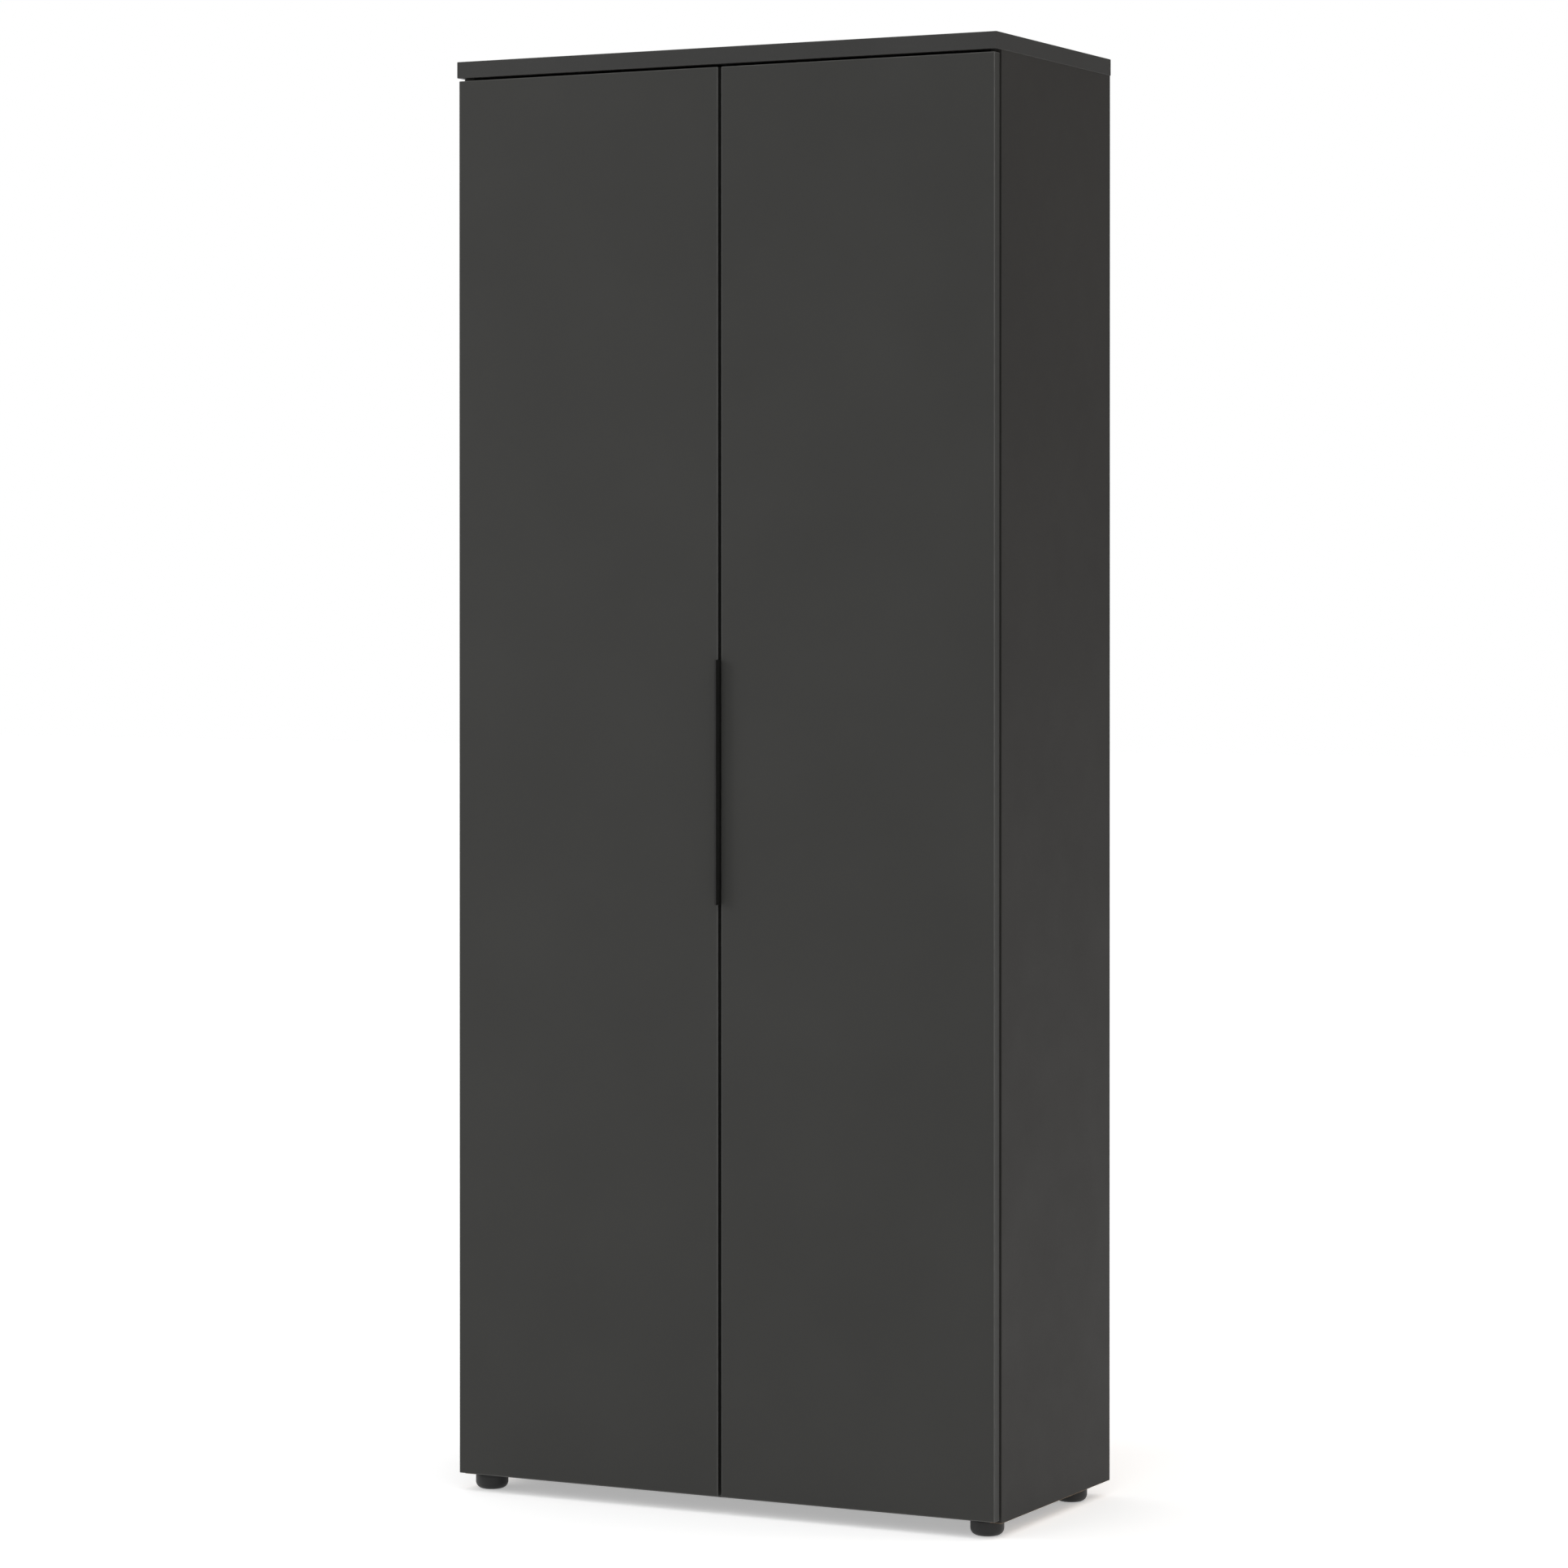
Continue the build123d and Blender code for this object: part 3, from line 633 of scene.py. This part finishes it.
# ---------------------------------------------------------------------------- modelling
class Modeller:
    """Short calls round the editing operators, so that a piece's steps read as steps."""

    @staticmethod
    def start(name: str) -> bpy.types.Object:
        """Name the primitive just added and enter edit mode with none of its faces selected.

        Args:
            name: The piece's name.

        Returns:
            The piece.
        """
        piece = bpy.context.object
        piece.name = piece.data.name = name
        bpy.ops.object.mode_set(mode="EDIT")
        bpy.ops.mesh.select_all(action="DESELECT")
        bpy.ops.mesh.select_mode(type="FACE")
        return piece

    @staticmethod
    def pick_faces(piece: bpy.types.Object, test: Test) -> None:
        """Select the faces for which a test holds, and no others.

        Args:
            piece: The piece, in edit mode.
            test: A function of a face's centre and normal.
        """
        bpy.ops.mesh.select_mode(type="FACE")
        bpy.ops.mesh.select_all(action="DESELECT")
        bpy.ops.object.mode_set(mode="OBJECT")
        for face in piece.data.polygons:
            face.select = test(face.center, face.normal)
        bpy.ops.object.mode_set(mode="EDIT")

    @staticmethod
    def pick_edges(piece: bpy.types.Object, test: Test) -> None:
        """Select the edges for whose two ends a test holds, and no others.

        Args:
            piece: The piece, in edit mode.
            test: A function of an edge's two end points.
        """
        bpy.ops.mesh.select_mode(type="EDGE")
        bpy.ops.mesh.select_all(action="DESELECT")
        bpy.ops.object.mode_set(mode="OBJECT")
        points = piece.data.vertices
        for edge in piece.data.edges:
            first, second = (points[i].co for i in edge.vertices)
            edge.select = test(first, second)
        bpy.ops.object.mode_set(mode="EDIT")

    @staticmethod
    def close(piece: bpy.types.Object, smooth_angle: float = 35.0) -> None:
        """Merge doubles, turn the faces outwards, leave edit mode and smooth the shading.

        Args:
            piece: The piece, in edit mode.
            smooth_angle: Edges sharper than this, in degrees, stay sharp.
        """
        bpy.ops.mesh.select_all(action="SELECT")
        bpy.ops.mesh.remove_doubles(threshold=MERGE_GAP)
        bpy.ops.mesh.normals_make_consistent(inside=False)
        bpy.ops.object.mode_set(mode="OBJECT")
        bpy.ops.object.transform_apply(location=True, rotation=True, scale=True)
        bpy.ops.object.shade_smooth_by_angle(angle=math.radians(smooth_angle))
        piece.select_set(False)


@dataclass
class Glides:
    """Four round moulded glides: a puck with a soft lower edge, a parting line and a recess."""

    nodes: tuple[str, ...] = (
        "foot_front_left",
        "foot_front_right",
        "foot_rear_left",
        "foot_rear_right",
    )
    bottom_round: float = 9.6 * MM
    top_round: float = 0.5 * MM
    recess_radius: float = 5.5 * MM
    recess_depth: float = 10.0 * MM
    recess_lip: float = 0.4 * MM
    bore_radius: float = 2.02 * MM
    groove_drop: float = 2.2 * MM
    groove_width: float = 0.5 * MM
    groove_slope: float = 0.1 * MM
    groove_depth: float = 0.15 * MM
    sides: int = 96
    bottom_steps: int = 12
    top_steps: int = 3
    finish: Coating = Coating(
        "glide_plastic",
        (0.0138, 0.0138, 0.0136),
        roughness=0.5,
        texture_per_metre=2200.0,
        texture_depth=0.05 * MM,
        specular=0.35,
    )

    def build(self) -> None:
        """Model the first glide, copy it to the other places and fit all four."""
        first = self.model(self.nodes[0])
        glides = [first] + [self.copy_to(first, node) for node in self.nodes[1:]]
        for glide, node in zip(glides, self.nodes):
            fit_in(glide, node, Body.CARCASS, self.finish)

    def model(self, node: str) -> bpy.types.Object:
        """Model a glide in its node's place.

        Args:
            node: The node.

        Returns:
            The glide.
        """
        low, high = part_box(node)
        radius = (high.x - low.x) / 2
        middle = (low + high) / 2
        bpy.ops.object.select_all(action="DESELECT")
        bpy.ops.mesh.primitive_cylinder_add(
            vertices=self.sides, radius=radius, depth=high.z - low.z, location=middle
        )
        bpy.ops.object.transform_apply(location=True)
        piece = Modeller.start(self.named(node))
        self.cut_groove(piece, high.z)
        Modeller.pick_edges(piece, lambda a, b: max(a.z, b.z) < low.z + NEAR)
        bpy.ops.mesh.bevel(offset=self.bottom_round, segments=self.bottom_steps, affect="EDGES")
        Modeller.pick_edges(piece, lambda a, b: min(a.z, b.z) > high.z - NEAR)
        bpy.ops.mesh.bevel(offset=self.top_round, segments=self.top_steps, affect="EDGES")
        self.sink_recess(piece, Vector((middle.x, middle.y, low.z)), radius)
        self.bore(piece, Vector((middle.x, middle.y, high.z)), radius)
        Modeller.close(piece)
        return piece

    @staticmethod
    def named(node: str) -> str:
        """The glide's own name, from its node's."""
        return node.replace("foot", "glide")

    def cut_groove(self, piece: bpy.types.Object, top: float) -> None:
        """Press a fine parting line into the wall, just under the top.

        Args:
            piece: The glide, in edit mode.
            top: Height of its top face.
        """
        for drop in (self.groove_drop, self.groove_drop + self.groove_width):
            bpy.ops.mesh.select_all(action="SELECT")
            bpy.ops.mesh.bisect(plane_co=(0, 0, top - drop), plane_no=(0, 0, 1))
        centre = top - self.groove_drop - self.groove_width / 2
        Modeller.pick_faces(piece, lambda c, n: abs(c.z - centre) < self.groove_width / 2)
        bpy.ops.mesh.inset(thickness=self.groove_slope, depth=-self.groove_depth)

    def sink_recess(self, piece: bpy.types.Object, below: Vector, radius: float) -> None:
        """Sink the screw's recess into the underside, with a soft lip.

        Args:
            piece: The glide, in edit mode.
            below: Centre of its underside.
            radius: Its outer radius.
        """
        Modeller.pick_faces(piece, lambda c, n: (c - below).length < MM)
        flat = radius - self.bottom_round
        bpy.ops.mesh.inset(thickness=flat - self.recess_radius - self.recess_lip, depth=0.0)
        bpy.ops.mesh.inset(thickness=self.recess_lip, depth=-self.recess_lip)
        bpy.ops.mesh.extrude_region_move(
            TRANSFORM_OT_translate={"value": (0, 0, self.recess_depth - self.recess_lip)}
        )
        bpy.ops.mesh.inset(thickness=self.recess_radius - self.bore_radius, depth=0.0)

    def bore(self, piece: bpy.types.Object, above: Vector, radius: float) -> None:
        """Open the screw's hole from the recess up through the top face.

        Args:
            piece: The glide, in edit mode.
            above: Centre of its top face.
            radius: Its outer radius.
        """
        Modeller.pick_faces(piece, lambda c, n: (c - above).length < MM)
        bpy.ops.mesh.inset(thickness=radius - self.top_round - self.bore_radius, depth=0.0)
        Modeller.pick_faces(piece, lambda c, n: (c - above).xy.length < NEAR)
        bpy.ops.mesh.delete(type="FACE")
        rim = self.bore_radius + NEAR
        Modeller.pick_edges(
            piece, lambda a, b: (a - above).xy.length < rim and (b - above).xy.length < rim
        )
        bpy.ops.mesh.bridge_edge_loops()

    def copy_to(self, glide: bpy.types.Object, node: str) -> bpy.types.Object:
        """Copy the first glide, mesh and all, to another node's place.

        Args:
            glide: The first glide.
            node: The other node.

        Returns:
            The copy.
        """
        bpy.ops.object.select_all(action="DESELECT")
        glide.select_set(True)
        bpy.context.view_layer.objects.active = glide
        bpy.ops.object.duplicate(linked=False)
        copy = bpy.context.object
        copy.name = copy.data.name = self.named(node)
        bpy.ops.transform.translate(value=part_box(node)[0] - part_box(self.nodes[0])[0])
        bpy.ops.object.transform_apply(location=True)
        copy.select_set(False)
        return copy


@dataclass
class EdgePull:
    """The left door's pull: a folded metal plate through the gap, with a leg behind the door."""

    node: str = "edge_pull"
    door: str = "door_left"
    plate: float = 3.0 * MM
    edge_round: float = 0.45 * MM
    edge_steps: int = 4
    smooth_angle: float = 40.0
    finish: Coating = Coating(
        "pull_coating",
        (0.0105, 0.0105, 0.0098),
        roughness=0.46,
        texture_per_metre=2600.0,
        texture_depth=0.03 * MM,
        specular=0.26,
    )

    def build(self) -> None:
        """Model the pull in its node's place and fit it to the left door."""
        low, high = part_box(self.node)
        door_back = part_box(self.door)[1].y
        size = Vector((self.plate, high.y - low.y, high.z - low.z))
        centre = Vector((high.x - self.plate / 2, (low.y + high.y) / 2, (low.z + high.z) / 2))
        bpy.ops.object.select_all(action="DESELECT")
        bpy.ops.mesh.primitive_cube_add(size=1.0, location=centre, scale=size)
        bpy.ops.object.transform_apply(location=True, scale=True)
        piece = Modeller.start("edge_pull_plate")
        bpy.ops.mesh.select_all(action="SELECT")
        bpy.ops.mesh.bisect(plane_co=(0, door_back, 0), plane_no=(0, 1, 0))
        Modeller.pick_faces(piece, lambda c, n: n.x < -FACING and c.y > door_back)
        reach = (high.x - self.plate) - low.x
        bpy.ops.mesh.extrude_region_move(TRANSFORM_OT_translate={"value": (-reach, 0, 0)})
        Modeller.close(piece)
        self.round_edges(piece)
        fit_in(piece, self.node, Body.LEFT_DOOR, self.finish)

    def round_edges(self, piece: bpy.types.Object) -> None:
        """Break every sharp edge with a small radius.

        Args:
            piece: The pull.
        """
        bpy.context.view_layer.objects.active = piece
        piece.select_set(True)
        bevel = piece.modifiers.new("edges", "BEVEL")
        bevel.width = self.edge_round
        bevel.segments = self.edge_steps
        bevel.limit_method = "ANGLE"
        bpy.ops.object.modifier_apply(modifier=bevel.name)
        bpy.ops.object.shade_smooth_by_angle(angle=math.radians(self.smooth_angle))
        piece.select_set(False)


# ---------------------------------------------------------------------------- dressing
GRAPHITE: Colour = (0.0380, 0.0380, 0.0371)
# Side panels: the board decor painted darker and warmer, as painted shade with a warm painted cast of
# light.
GRAPHITE_SHADED_SIDE: Colour = (0.0268, 0.0257, 0.0240)
GRAPHITE_FRONT: Colour = (0.0278, 0.0278, 0.0258)
# Board edges: partly rubbed wear, partly a painted highlight.
GRAPHITE_RUB_AND_HIGHLIGHT: Colour = (0.052, 0.050, 0.047)
# Door edges: mostly a painted highlight of the rounded edges catching light, plus some rubbed wear.
FRONT_RUB_AND_HIGHLIGHT: Colour = (0.125, 0.125, 0.120)


@dataclass
class Carcass:
    """The boards, back and fittings that stand still."""

    boards: tuple[str, ...] = ("top_panel", "hat_shelf", "shoe_shelf", "bottom_panel")
    sides: tuple[str, ...] = ("side_panel_left", "side_panel_right")
    sheets: tuple[str, ...] = ("back_panel_left", "back_panel_right")
    decor: Melamine = Melamine(
        "graphite_board", GRAPHITE, GRAPHITE_RUB_AND_HIGHLIGHT, specular=0.11, raw=RawEnds.REAR
    )
    # The sides wear a painted-shade copy of the board decor, darker and warmer than the other boards.
    shaded_side_decor: Melamine = Melamine(
        "graphite_shaded_side", GRAPHITE_SHADED_SIDE, GRAPHITE_RUB_AND_HIGHLIGHT, specular=0.11, raw=RawEnds.REAR_AND_FOOT
    )
    sheet: Hardboard = Hardboard()
    strip: Coating = Coating("strip_plastic", (0.03, 0.03, 0.03), roughness=0.5)
    rail: PlatedMetal = PlatedMetal(
        "rail_chrome", (0.78, 0.78, 0.79), roughness=0.14, drawn=(1.0, 0.05, 1.0)
    )

    def dress(self, nodes: dict[str, bpy.types.Object]) -> None:
        """Give the carcass its finishes.

        Args:
            nodes: The frame's nodes.
        """
        for name in self.boards:
            wear(nodes, name, self.decor)
        for name in self.sides:
            wear(nodes, name, self.shaded_side_decor)
        for name in self.sheets:
            wear(nodes, name, self.sheet)
        wear(nodes, "back_strip", self.strip)
        wear(nodes, "hanger_rail", self.rail)


@dataclass
class Doors:
    """The two doors."""

    names: tuple[str, ...] = ("door_left", "door_right")
    # The door decor's light edges are mostly a painted highlight, partly rubbed wear.
    decor: Melamine = Melamine(
        "graphite_front",
        GRAPHITE_FRONT,
        FRONT_RUB_AND_HIGHLIGHT,
        roughness=0.5,
        speckle=0.07,
        edge_band=1.3 * MM,
    )
    pads: Silicone = Silicone()

    def dress(self, nodes: dict[str, bpy.types.Object]) -> None:
        """Give the doors and their pads their finishes.

        Args:
            nodes: The frame's nodes.
        """
        for name in self.names:
            wear(nodes, name, self.decor)
            wear(nodes, name.replace("door", "door_pads"), self.pads)


@dataclass
class Hardware:
    """Hinges, screws, cams and the other fittings, told apart by the start of their names."""

    steel: PlatedMetal = PlatedMetal("plated_steel", (0.66, 0.65, 0.63), roughness=0.4)
    casting: PlatedMetal = PlatedMetal(
        "zinc_casting",
        (0.56, 0.56, 0.57),
        roughness=0.45,
        texture_per_metre=1400.0,
        texture_depth=0.03 * MM,
    )
    wood: Beech = Beech()
    cast: tuple[str, ...] = ("hinge_cup", "cam_locks", "rail_bracket")
    pressed: tuple[str, ...] = (
        "hinge_arm",
        "hinge_plate",
        "hinge_pins",
        "arm_screws",
        "board_screws",
        "door_screws",
        "foot_screws",
        "cam_bolts",
        "shelf_pins",
        "back_nails",
        "wall_angle",
    )

    def dress(self, nodes: dict[str, bpy.types.Object]) -> None:
        """Give every fitting its finish.

        Args:
            nodes: The frame's nodes.
        """
        for name in sorted(nodes):
            if name.startswith(self.cast):
                wear(nodes, name, self.casting)
            elif name.startswith(self.pressed):
                wear(nodes, name, self.steel)
            elif name == "dowels":
                wear(nodes, name, self.wood)


def wear(nodes: dict[str, bpy.types.Object], name: str, finish: Finish) -> None:
    """Put a finish on a node of the frame.

    Args:
        nodes: The frame's nodes.
        name: The node's name.
        finish: The finish, which builds a material for that node.
    """
    piece = nodes[name]
    piece.data.materials.clear()
    piece.data.materials.append(finish.build(name))
    LOG.info("finished %s as %s", name, finish.name)


def fit_in(piece: bpy.types.Object, node: str, body: Body, finish: Finish) -> None:
    """Let a modelled piece stand for its node and move with its body.

    Args:
        piece: The piece.
        node: The node that it stands for.
        body: The body that it rides on.
        finish: Its finish.
    """
    piece.data.materials.append(finish.build(node))
    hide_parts(node)
    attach(piece, body.value)
    LOG.info("modelled %s for %s", piece.name, node)


# ---------------------------------------------------------------------------- studio
@dataclass
class SoftLight:
    """A large soft lamp aimed at a point."""

    name: str
    place: Vector
    aim: Vector
    width: float
    height: float
    power: float
    tint: Colour = (1.0, 1.0, 1.0)

    def build(self) -> None:
        """Hang the lamp."""
        data = bpy.data.lights.new(self.name, "AREA")
        data.shape = "RECTANGLE"
        data.size = self.width
        data.size_y = self.height
        data.energy = self.power
        data.color = self.tint
        lamp = bpy.data.objects.new(self.name, data)
        lamp.location = self.place
        lamp.rotation_euler = (self.aim - self.place).to_track_quat("-Z", "Y").to_euler()
        bpy.context.collection.objects.link(lamp)


@dataclass
class Studio:
    """The pale floor, the soft light and the camera."""

    floor_size: float = 60.0
    floor_colour: Colour = (0.94, 0.94, 0.94)
    floor_clouds_per_metre: float = 0.6
    floor_cloud_tone: float = 0.985
    floor_roughness: float = 0.85
    floor_specular: float = 0.1
    floor_glow: float = 0.39
    level_glow: float = 0.30
    overhead_glow: float = 1.25
    rear_share: float = 0.5
    camera_place: Vector = field(default_factory=lambda: Vector((2.9896, -5.863, 1.2013)))
    camera_yaw: float = 26.987
    camera_pitch: float = 0.252
    lens: float = 112.2
    sensor: float = 36.0
    shift_y: float = -0.1025
    view_depth: float = 200.0
    lamps: tuple[SoftLight, ...] = (
        SoftLight(
            "key",
            place=Vector((-6.4, -3.4, 2.8)),
            aim=Vector((0, 0, 1.0)),
            width=1.6,
            height=2.6,
            power=130.0,
        ),
        SoftLight(
            "fill",
            place=Vector((3.0, -6.2, 2.0)),
            aim=Vector((0, 0, 0.9)),
            width=2.6,
            height=2.6,
            power=12.0,
        ),
        SoftLight(
            "top",
            place=Vector((0.2, -2.4, 5.2)),
            aim=Vector((0, 0, 1.0)),
            width=2.6,
            height=1.6,
            power=24.0,
        ),
        SoftLight(
            "side",
            place=Vector((2.6, 0.9, 4.0)),
            aim=Vector((0.4, 0, 2.1)),
            width=1.2,
            height=1.2,
            power=22.0,
            tint=(1.0, 0.9, 0.8),
        ),
    )

    def build(self) -> None:
        """Set up floor, light and camera."""
        self.lay_floor()
        self.light_surround()
        for lamp in self.lamps:
            lamp.build()
        self.stand_camera()
        bpy.context.scene.view_settings.view_transform = "Standard"
        bpy.context.scene.view_settings.look = "None"

    def lay_floor(self) -> None:
        """Lay a plain pale floor under the wardrobe."""
        bpy.ops.object.select_all(action="DESELECT")
        bpy.ops.mesh.primitive_plane_add(size=self.floor_size, location=(0, 0, 0))
        floor = bpy.context.object
        floor.name = "studio_floor"
        graph = Graph("studio_floor")
        clouds = graph.noise(self.floor_clouds_per_metre, 2.0)
        darker = scaled(self.floor_colour, self.floor_cloud_tone)
        graph.set(
            Base_Color=graph.blend(clouds, self.floor_colour, darker),
            Roughness=self.floor_roughness,
            Specular_IOR_Level=self.floor_specular,
            Emission_Color=(1.0, 1.0, 1.0, 1.0),
            Emission_Strength=self.floor_glow,
        )
        floor.data.materials.append(graph.material)

    def light_surround(self) -> None:
        """Fill the room with soft light, brightest overhead, in front of a white backdrop."""
        world = bpy.data.worlds.new("studio")
        world.use_nodes = True
        tree = world.node_tree
        tree.nodes.clear()
        split = tree.nodes.new("ShaderNodeSeparateXYZ")
        tree.links.new(tree.nodes.new("ShaderNodeTexCoord").outputs["Generated"], split.inputs[0])
        product = tree.nodes.new("ShaderNodeMath")
        product.operation = "MULTIPLY"
        ramps = (
            ("Z", 0.0, 1.0, self.level_glow, self.overhead_glow),
            ("Y", -1.0, 1.0, 1.0, self.rear_share),
        )
        for slot, (axis, low, high, start, end) in enumerate(ramps):
            ramp = tree.nodes.new("ShaderNodeMapRange")
            for socket, number in zip(ramp.inputs[1:5], (low, high, start, end)):
                socket.default_value = number
            tree.links.new(split.outputs[axis], ramp.inputs["Value"])
            tree.links.new(ramp.outputs["Result"], product.inputs[slot])
        light = tree.nodes.new("ShaderNodeBackground")
        light.inputs["Color"].default_value = (1.0, 1.0, 1.0, 1.0)
        tree.links.new(product.outputs[0], light.inputs["Strength"])
        backdrop = tree.nodes.new("ShaderNodeBackground")
        backdrop.inputs["Color"].default_value = (1.0, 1.0, 1.0, 1.0)
        rays = tree.nodes.new("ShaderNodeLightPath")
        mix = tree.nodes.new("ShaderNodeMixShader")
        tree.links.new(rays.outputs["Is Camera Ray"], mix.inputs[0])
        tree.links.new(light.outputs[0], mix.inputs[1])
        tree.links.new(backdrop.outputs[0], mix.inputs[2])
        output = tree.nodes.new("ShaderNodeOutputWorld")
        tree.links.new(mix.outputs[0], output.inputs["Surface"])
        bpy.context.scene.world = world

    def stand_camera(self) -> None:
        """Stand the camera at eye height to the right of the doors."""
        data = bpy.data.cameras.new("camera")
        data.lens = self.lens
        data.sensor_width = self.sensor
        data.shift_y = self.shift_y
        data.clip_end = self.view_depth
        camera = bpy.data.objects.new("camera", data)
        camera.location = self.camera_place
        turn = (math.radians(90 - self.camera_pitch), 0.0, math.radians(self.camera_yaw))
        camera.rotation_euler = Euler(turn)
        bpy.context.collection.objects.link(camera)
        bpy.context.scene.camera = camera


# ---------------------------------------------------------------------------- assembly
def main() -> None:
    """Build the wardrobe's looks around its frame, in order."""
    logging.basicConfig(level=logging.INFO, format="%(name)s: %(message)s")
    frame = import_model()
    nodes = frame["nodes"]

    Carcass().dress(nodes)
    Doors().dress(nodes)
    Hardware().dress(nodes)
    Glides().build()
    EdgePull().build()
    Studio().build()


if __name__ == "__main__":
    main()
